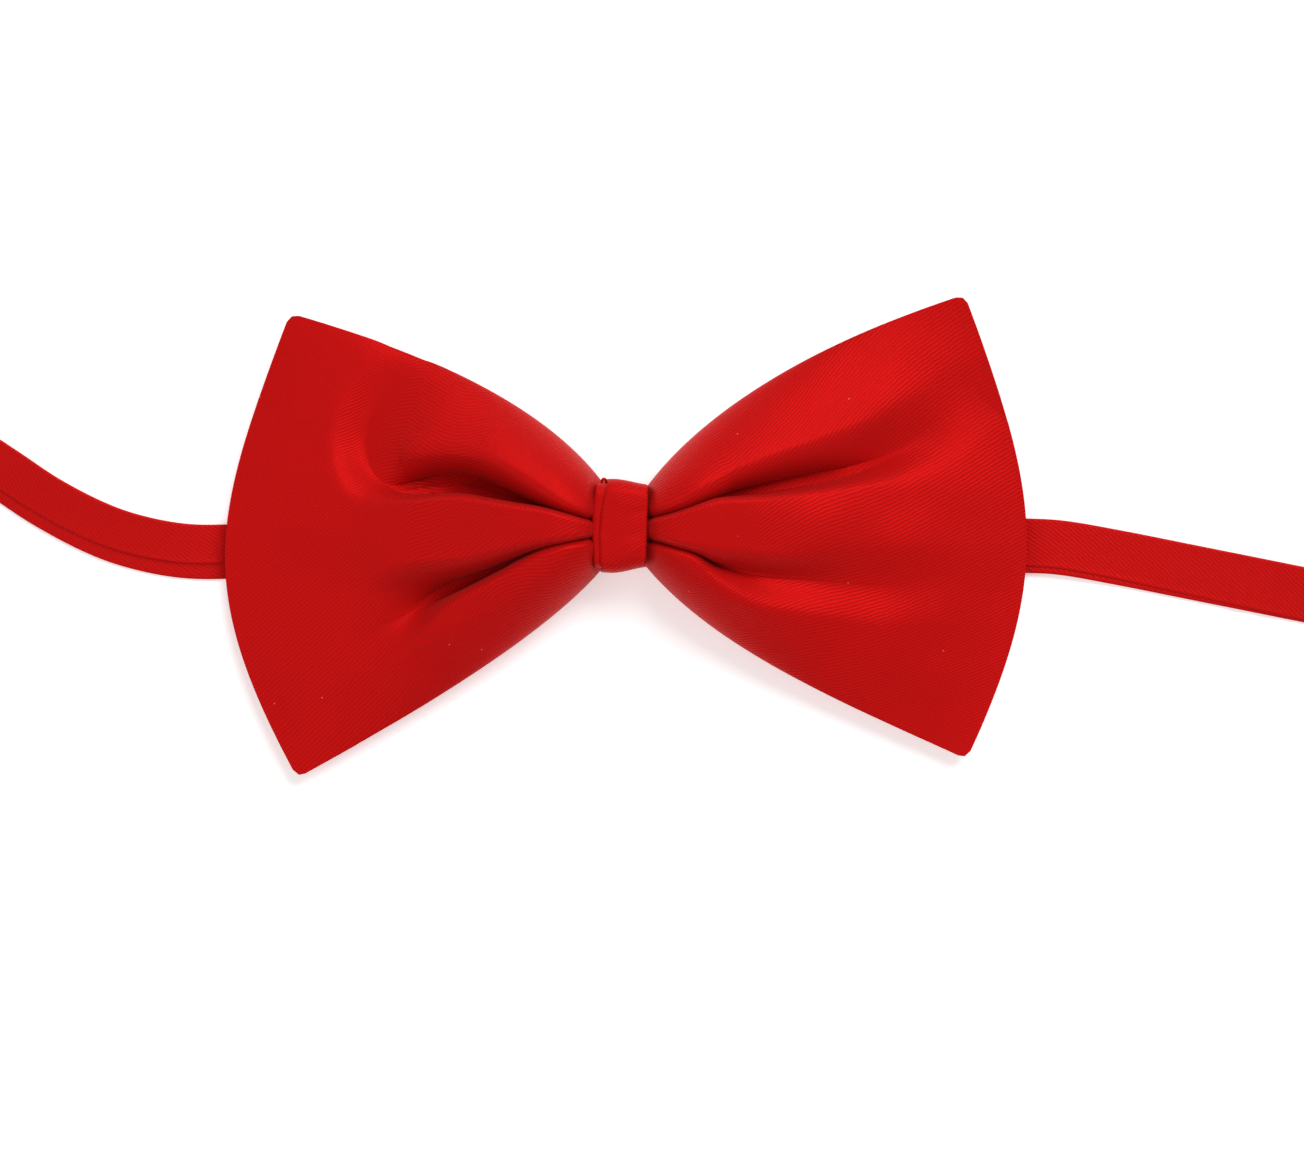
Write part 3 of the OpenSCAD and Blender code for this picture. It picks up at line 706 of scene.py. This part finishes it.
def reach(u, puff, mouth):
    """Height of a wing's middle above the sewn line, at u. It swells from the knot's mouth on."""
    swelling = puff * np.sin(math.pi * u ** 0.62) ** 0.8 * smooth((u - mouth + 0.012) / 0.05)
    rise = KNOT_HALF_DEPTH * (1 - smooth(u)) + swelling
    return rise * (1 - u ** 9) ** 0.6


def near_crease(rows, x, y):
    """For each point: signed distance to a crease, its rows' values beside the point, and its direction."""
    line = through(rows, 240)
    step = np.gradient(line[:, :2], axis=0)
    spacing = np.linalg.norm(step, axis=1)
    step /= spacing[:, None]
    flat = np.stack([x.ravel(), y.ravel()], axis=1)
    nearest = ((flat[:, None, :] - line[None, :, :2]) ** 2).sum(axis=2).argmin(axis=1)
    along = ((flat - line[nearest, :2]) * step[nearest]).sum(axis=1) / spacing[nearest]
    place = np.clip(nearest + np.clip(along, -0.6, 0.6), 0, len(line) - 1)
    index = np.arange(len(line))
    beside = np.stack([np.interp(place, index, column) for column in line.T], axis=1)
    way = np.stack([np.interp(place, index, column) for column in step.T], axis=1)
    way /= np.linalg.norm(way, axis=1)[:, None]
    offset = flat - beside[:, :2]
    signed = way[:, 0] * offset[:, 1] - way[:, 1] * offset[:, 0]
    distance = np.linalg.norm(offset, axis=1) * np.where(signed < 0, -1, 1)
    return distance.reshape(x.shape), beside.reshape(*x.shape, -1), way.reshape(*x.shape, 2)


def ripples(x, y, size):
    """Small waves that cloth has everywhere, in a few directions."""
    return size * (np.sin(0.31 * x + 0.22 * y + 0.6) * np.sin(0.17 * x - 0.41 * y)
                   + 0.6 * np.sin(0.52 * x - 0.2 * y + 1.9) * np.sin(0.27 * y + 0.13 * x))


def gather_points(plan, wing, guard):
    """Draws the grid's lines in towards the creases, where the shape is finest.

    Returns the plan and, for each crease, the distance above it, its rows and its upward direction.
    """
    x, y = plan[..., 0], plan[..., 1]
    room = mix(1.1, 4.5, smooth((np.abs(x) - 4) / 14))
    creases = []
    for rows in wing["creases"]:
        distance, beside, way = near_crease(rows, x, y)
        above = wing["side"] * distance
        upward = wing["side"] * np.stack([-way[..., 1], way[..., 0]], axis=-1)
        share = np.clip(np.abs(above) / room, 1e-6, 1)
        shift = np.sign(above) * room * (share ** 1.5 - share) * np.clip(beside[..., 2] / 2, 0, 1) * guard
        creases.append((above + shift, beside, upward))
        plan = plan + shift[..., None] * upward
    return plan, creases


def rounded_lip(distance, width, soft):
    """Share of a pocket's depth at a distance from its floor: a round lip, or a gentle slope where soft."""
    t = np.clip(distance / width, 0, 1)
    steepest = 0.92
    lip = (1 - np.sqrt(1 - steepest * (1 - t) ** 2)) / (1 - math.sqrt(1 - steepest))
    return mix(lip, 1 - smooth(t), soft)


def blurred(field, times):
    """A grid of numbers, evened out with its neighbours so many times."""
    for _ in range(times):
        padded = np.pad(field, 1, mode="edge")
        ring = padded[2:, 1:-1] + padded[:-2, 1:-1] + padded[1:-1, 2:] + padded[1:-1, :-2]
        field = 0.5 * field + 0.125 * ring
    return field


def pressed(front, creases):
    """Pushes the creases into a height field: new height, and how far each point slides sideways."""
    slide = np.zeros((*front.shape, 2))
    dent = np.zeros(front.shape)
    gentle = np.zeros(front.shape)
    for above, beside, upward in creases:
        depth, open_above, round_above, open_below, round_below, soft = (beside[..., k] for k in range(2, 8))
        is_above = above > 0
        floor_edge = np.where(is_above, open_above, open_below)
        width = np.maximum(np.where(is_above, round_above, round_below), 0.3)
        soft = np.clip(soft, 0, 1)
        beyond = np.maximum(np.abs(above) - floor_edge, 0)
        share = rounded_lip(beyond, width, soft)
        dent = np.maximum(dent, np.maximum(depth, 0) * share)
        lean = OVERHANG * np.clip(depth / 5, 0, 1) * (1 - soft) * (1 - share) * np.exp(-(beyond / 2.2) ** 2)
        slide += (-np.sign(above) * lean)[..., None] * upward
        gentle = np.maximum(gentle, smooth((soft - 0.45) / 0.5) * np.exp(-(above / 10) ** 2))
    return front - mix(dent, blurred(dent, 140), blurred(gentle, 60)), slide


def blunt_corners(plan, wing):
    """Rounds the two tips, as where a corner is turned out."""
    for key in ("top", "bottom"):
        corner = np.array(wing[key][3], float)
        centre = np.array((wing["side"] * 30, 0.0))
        inward = (centre - corner) / np.linalg.norm(centre - corner)
        distance = np.linalg.norm(plan - corner, axis=-1)
        pull = 0.55 * np.clip(1 - distance / 1.4, 0, 1)
        plan = plan + pull[..., None] * inward
    return plan


def wing_places(wing, steps):
    """A grid of u and v over a wing, closer together at its edges, and the plan's points there."""
    u = np.linspace(0, 1, steps[0]) ** 0.9
    even = np.linspace(0, 1, steps[1])
    v = mix(0.5 - 0.5 * np.cos(math.pi * even), even, 0.6)
    u, v = np.meshgrid(u, v, indexing="ij")
    return u, v, blunt_corners(wing_plan(wing, u, v), wing)


def front_grid(wing):
    """Points of a wing's front, in millimetres: a crowned envelope with its swells, ripples and pockets."""
    u, v, plan = wing_places(wing, FRONT_STEPS)
    plan, creases = gather_points(plan, wing, crown(v, 0.5) * (1 - u ** 8))
    x, y = plan[..., 0], plan[..., 1]
    seam = crossing_z(u)
    front = seam + reach(u, FRONT_PUFF, wing["mouth"]) * crown(v, mix(0.6, 0.85, u))
    for sx, sy, wide, high, turn, height in wing["swells"]:
        c, s = math.cos(math.radians(turn)), math.sin(math.radians(turn))
        along, over = (x - sx) * c + (y - sy) * s, (y - sy) * c - (x - sx) * s
        front = front + height * np.exp(-(along / wide) ** 2 - (over / high) ** 2) * crown(v, 0.5)
    front = front + ripples(x, y, 0.16) * crown(v, 0.5) * smooth(u * 4) * (1 - u ** 6)
    front, slide = pressed(front, creases)
    front = np.maximum(front, seam - 2.4 * (1 - u) * crown(v, 0.5))
    slide *= smooth(u * 6 + 0.2)[..., None]
    return np.stack([x + slide[..., 0], y + slide[..., 1], front], axis=-1)


def back_grid(wing, steps):
    """Points of a wing's back, in millimetres: two shallow pleats, and flat over the table and band."""
    u, v, plan = wing_places(wing, steps)
    x, y = plan[..., 0], plan[..., 1]
    seam = crossing_z(u)
    back = seam - reach(u, BACK_PUFF, wing["mouth"]) * crown(v, 0.6)
    back = back + ripples(y, x, 0.14) * crown(v, 0.5) * smooth(u * 4) * (1 - u ** 6)
    for place in BACK_PLEATS:
        bend = place + 0.03 * np.sin(5 * u + 9 * place)
        pleat = BACK_PLEAT_DEPTH * (1 - smooth(u / 0.62)) * np.exp(-np.abs(v - bend) / 0.045)
        back = back + pleat * crown(v, 0.6)
    beside_band = np.abs(y - np.interp(np.abs(x), (16, 60), (1.2, -1.8))) - BAND_WIDTH / 2 / MM
    over_band = np.interp(np.abs(x), BAND_CLEAR_X, BAND_CLEAR_Z)
    floor = mix(over_band, TABLE_CLEAR_Z, smooth((beside_band - 0.6) / 5))
    back = 0.5 * (back + floor + np.sqrt((back - floor) ** 2 + 0.25))
    rim = np.clip(np.minimum(np.minimum(v, 1 - v), 1 - u) * 40, 0, 1)
    back = mix(seam, np.minimum(back, seam), rim)
    return np.stack([x, y, back], axis=-1)


def tucked_in(grid, side):
    """Carries a wing's grid on inside the wrap, where the cloth is squeezed further."""
    tuck = np.linspace(1, 0, 9)[:-1, None]
    squeeze = 1 - 0.16 * smooth(tuck * 2.2)
    mouth = grid[0]
    middle_y = mouth[:, 1].mean()
    inside = np.stack([mouth[:, 0] - side * TUCK * tuck, middle_y + (mouth[:, 1] - middle_y) * squeeze,
                       SEAM_AT_KNOT + (mouth[:, 2] - SEAM_AT_KNOT) * squeeze], axis=-1)
    return np.concatenate([inside, grid])


def flat_cloth(grid, side):
    """Each point's place on the flat cloth, measured out from the knot and up from the middle."""
    out = lengths_along_rows(grid)
    around = np.concatenate([np.zeros((len(grid), 1)),
                             np.cumsum(np.linalg.norm(np.diff(grid, axis=1), axis=2), axis=1)], axis=1)
    around -= around[:, -1:] / 2
    return np.stack([np.repeat(-side * out[:, None], grid.shape[1], axis=1), around], axis=-1)


def lengths_along_rows(grid):
    """Average distance along a grid from its first row to each row."""
    steps = np.linalg.norm(np.diff(grid, axis=0), axis=2).mean(axis=1)
    return np.concatenate([[0], np.cumsum(steps)])


def make_wing(which):
    """A wing's front ply, back ply and interlining, which come out of the knot together."""
    wing = WINGS[which]
    side, body = wing["side"], which + "_wing"
    plies = (("front", front_grid(wing), side < 0), ("back", back_grid(wing, BACK_STEPS), side > 0))
    for kind, grid, flip in plies:
        grid = tucked_in(grid, side)
        faces = grid_faces(*grid.shape[:2], flip=flip)
        piece = new_piece(f"{body}_{kind}_ply", grid * MM, faces, SATIN, flat_cloth(grid, side) * MM)
        apply_modifier(piece, "SOLIDIFY", thickness=PLY * MM, offset=-1.0, use_even_offset=False)
        piece.data.set_sharp_from_angle(angle=CREASE_ANGLE)
        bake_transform(piece)
        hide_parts(f"{body}_{kind}")
    core = 0.5 * (front_grid(wing) + back_grid(wing, FRONT_STEPS))[8:-16:5, 14:-14:5]
    faces = grid_faces(*core.shape[:2], flip=side < 0)
    sheet = new_piece(f"{body}_interlining_sheet", core * MM, faces, INTERLINING)
    apply_modifier(sheet, "SOLIDIFY", thickness=CORE_THICK * MM, offset=0.0)
    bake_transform(sheet)
    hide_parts(f"{body}_interlining")


for which_wing in WINGS:
    make_wing(which_wing)


# ---------------------------------------------------------------- the knot

# Edges of the wrap, and of the strip inside it, seen from the front: x at each y, in millimetres
WRAP_Y = [-5.4, -4.3, -0.3, 3.0, 5.6, 8.4]
WRAP_LEFT = [-3.5, -3.9, -4.05, -3.85, -3.4, -2.7]
WRAP_RIGHT = [2.7, 2.95, 3.15, 3.2, 3.3, 3.3]
STRIP_LEFT = [-4.5, -4.75, -5.0, -5.0, -4.75, -4.35]
STRIP_RIGHT = [2.3] * len(WRAP_Y)
KNOT_Y = 1.55
KNOT_TOP = 12.5


def rounded_ring(half_y, low_z, high_z, radius, count):
    """Places round the knot's section, y and z from its middle line, with outward directions."""
    half_z = (high_z - low_z) / 2
    points, normals = [], []
    corners = ((1, 1, 0), (-1, 1, 90), (-1, -1, 180), (1, -1, 270))
    for sy, sz, start in corners:
        for a in np.radians(np.linspace(start, start + 90, 10)):
            points.append((sy * (half_y - radius) + radius * math.cos(a),
                           sz * (half_z - radius) + radius * math.sin(a)))
            normals.append((math.cos(a), math.sin(a)))
    loop = np.vstack([points, points[:1]])
    turned = np.vstack([normals, normals[:1]])
    at = lengths_along(loop)
    steps = np.linspace(0, at[-1], count, endpoint=False)
    ring = np.stack([np.interp(steps, at, loop[:, k]) for k in range(2)], axis=1)
    out = np.stack([np.interp(steps, at, turned[:, k]) for k in range(2)], axis=1)
    ring[:, 1] += (low_z + high_z) / 2
    return ring, out / np.linalg.norm(out, axis=1)[:, None], at[-1]


def strip_section(bulge):
    """A folded strip's section, as rows of s, beyond and n.

    s goes across from -1 to 1, beyond is how far the round fold goes past that, from -1 to 1, and n
    goes through from 0 inside to 1 outside.
    """
    flat = np.linspace(-1, 1, 26)
    outside = [(s, 0.0, 1 + bulge * (1 - s * s)) for s in flat]
    inside = [(s, 0.0, 0.0) for s in flat[::-1]]
    turns = np.linspace(math.pi / 2, -math.pi / 2, 7)[1:-1]
    right = [(1, math.cos(a), 0.5 + 0.5 * math.sin(a)) for a in turns]
    left = [(-1, -math.cos(a), 0.5 - 0.5 * math.sin(a)) for a in turns]
    return outside + right + inside + left


def make_ring(name, edges, half_y, low_z, high_z, radius, thick, lean, bulge, wrinkles):
    """A folded strip of satin that goes round the knot.

    edges are its left and right x at WRAP_Y on the front, then on the back. lean narrows its right side,
    and bulge rounds its outside.
    """
    count = 300
    ring, out, around = rounded_ring(half_y, low_z, high_z, radius, count)
    section = strip_section(bulge)
    fold = thick / 2
    points, cloth = [], []
    for i in range(count):
        y, z = KNOT_Y + ring[i, 0], ring[i, 1]
        front = smooth((z - 3) / 6)
        left = mix(edges[2], np.interp(y, WRAP_Y, edges[0]), front) + fold
        right = mix(edges[3], np.interp(y, WRAP_Y, edges[1]), front) - fold
        row = []
        for s, beyond, n in section:
            x = mix(left, right, (s + 1) / 2) + beyond * fold
            wrinkle = sum(h * math.exp(-((y - cy - slope * x) / w) ** 2 - ((x - cx) / wx) ** 2)
                          for cx, cy, slope, w, wx, h in wrinkles) * front * n
            height = (n - 1) * thick + wrinkle
            shrink = 1 - lean * smooth((x + 2.6) / 5.6)
            row.append((x, KNOT_Y + ring[i, 0] * shrink + out[i, 0] * height, z + out[i, 1] * height))
        points.append(row)
        flat = np.array(row)
        cloth.append(np.stack([lengths_along(flat), np.full(len(row), around * i / count)], axis=1))
    columns = len(section)
    faces = grid_faces(count, columns, close_rows=True, close_columns=True)
    piece = new_piece(name, np.array(points) * MM, faces, SATIN, np.array(cloth) * MM)
    outward_faces(piece)
    return piece


def make_corner_loop():
    """The small turned-out loop at the top left corner, where the inner strip's fold stands up."""
    turns = np.radians(np.linspace(-50, 230, 22))
    loop = [(-3.25 + 0.34 * math.cos(a), 8.0 + 0.52 * math.sin(a), 9.4 + 0.5 * math.sin(a)) for a in turns]
    return make_tubes("corner_fold_loop", [np.array(loop) * MM], 0.2 * MM, SATIN, sides=12)


def make_waist():
    """The cloth where it is gathered: round pleats pressed together, inside the wrap."""
    across, rows = 120, 16
    t = np.linspace(0, 1, across)
    wave = 2.0 * np.cos(2 * math.pi * 4 * t)
    y = KNOT_Y + mix(-4.0, 4.0, t)
    points = []
    for x in np.linspace(-4.3, 2.9, rows):
        drift = 0.12 * np.sin(x * 1.3 + 7 * t)
        points.append([(x, a, 7.0 + b) for a, b in zip(y, wave + drift)])
    grid = np.array(points) * MM
    flat = np.stack([grid[..., 0], grid[..., 1] * 2.2], axis=-1)
    piece = new_piece("waist_pleats", grid, grid_faces(rows, across), SATIN, flat)
    apply_modifier(piece, "SOLIDIFY", thickness=0.5 * MM, offset=0.0)
    return piece


def make_waist_thread():
    """Five turns of thread wound round the gathered cloth."""
    turns, steps, pitch, first_x = 5, 90, 0.78, -1.9
    ring = rounded_ring(4.55, 4.0, 10.2, 1.6, steps)[0]
    t = np.arange(steps * turns)
    wound = np.stack([first_x + pitch * t / steps, KNOT_Y + ring[t % steps, 0], ring[t % steps, 1]], axis=1)
    return make_tubes("waist_winding", [wound * MM], 0.2 * MM, THREAD, sides=10)


def make_wrap_stitches():
    """Slanted stitches that close the wrap, across the middle of its back."""
    knot_x, pitch, slant, half_length = -0.4, 1.3, 0.35, 0.8
    t = np.linspace(-1, 1, 14)
    arch = 0.14 + 0.22 * t ** 4
    paths = []
    for i in range(-2, 3):
        x = knot_x + i * pitch
        paths.append(np.stack([x + slant * t, KNOT_Y + half_length * t, arch], axis=1) * MM)
    return make_tubes("wrap_whip_stitches", paths, 0.12 * MM, THREAD, sides=9)


# Wrinkles on the wrap's front: x and y of the middle, slope, half widths up and across, and height
WRAP_WRINKLES = [(0.0, -1.6, 0.25, 0.9, 2.4, 0.14), (0.9, -3.1, 0.5, 0.6, 1.6, 0.12),
                 (-1.5, 5.2, -0.2, 1.0, 2.0, 0.1), (2.0, 3.2, 0.3, 0.7, 1.4, -0.08),
                 (-2.6, 0.6, 0.1, 1.4, 0.8, -0.08)]

wrap = make_ring("knot_wrap_cloth", edges=(WRAP_LEFT, WRAP_RIGHT, -3.95, 3.15), half_y=6.95, low_z=0.34,
                 high_z=KNOT_TOP, radius=2.3, thick=0.8, lean=0.11, bulge=0.2, wrinkles=WRAP_WRINKLES)
inner_strip = make_ring("waist_band_strip", edges=(STRIP_LEFT, STRIP_RIGHT, -4.8, 2.3), half_y=6.3, low_z=2.4,
                        high_z=12.2, radius=2.0, thick=0.7, lean=0.1, bulge=0.0, wrinkles=[])
corner_fold = make_corner_loop()
settle(wrap, "bow", "satin", "knot_wrap")
settle(inner_strip, "bow", "satin", "waist_band")
settle(corner_fold, "bow", "satin", "waist_band")
settle(make_waist(), "bow", "satin", "pleated_waist")
settle(make_waist_thread(), "bow", "thread", "waist_thread")
settle(make_wrap_stitches(), "bow", "thread", "wrap_stitches")


# ---------------------------------------------------------------- floor and light

def make_floor():
    """A plain pale floor that the tie lies on. It glows faintly: painted light that washes out the shadows
    round the tie.
    """
    n = Nodes("floor")
    place = n.add("ShaderNodeTexCoord").outputs["Object"]
    haze = n.add("ShaderNodeTexNoise", {"Vector": place, "Scale": 6.0})
    n.plug("Base Color", n.blend(haze.outputs["Fac"], (0.93, 0.93, 0.93, 1), (0.95, 0.95, 0.95, 1)))
    n.shader.inputs["Roughness"].default_value = 0.9
    # Painted light: the floor glows so that the tie's shadows on it fade towards white
    n.shader.inputs["Emission Color"].default_value = (1, 1, 1, 1)
    n.shader.inputs["Emission Strength"].default_value = 0.35
    size, depth = 3.0, -0.05 * MM
    corners = [(-size, -size, depth), (size, -size, depth), (size, size, depth), (-size, size, depth)]
    floor = new_piece("floor", corners, [(0, 1, 2, 3)], n.material)


def soft_sun(name, place, spread, strength):
    """A broad even light from the direction of a place."""
    data = bpy.data.lights.new(name, "SUN")
    data.angle = math.radians(spread)
    data.energy = strength
    light = bpy.data.objects.new(name, data)
    bpy.context.scene.collection.objects.link(light)
    light.rotation_mode = "QUATERNION"
    light.rotation_quaternion = (-Vector(place)).to_track_quat("-Z", "Y")


def make_light():
    """Soft studio light: a broad key from the upper right, a fill from the lower left, a pale surround."""
    soft_sun("key", (0.4, 0.8, 1.05), 36, 2.15)
    soft_sun("fill", (-0.5, -0.6, 1.0), 60, 0.7)
    world = bpy.data.worlds.new("studio")
    bpy.context.scene.world = world
    world.use_nodes = True
    background = world.node_tree.nodes["Background"]
    background.inputs["Color"].default_value = (1, 1, 1, 1)
    background.inputs["Strength"].default_value = 0.38


make_floor()
make_light()
bpy.context.scene.view_settings.view_transform = "Standard"
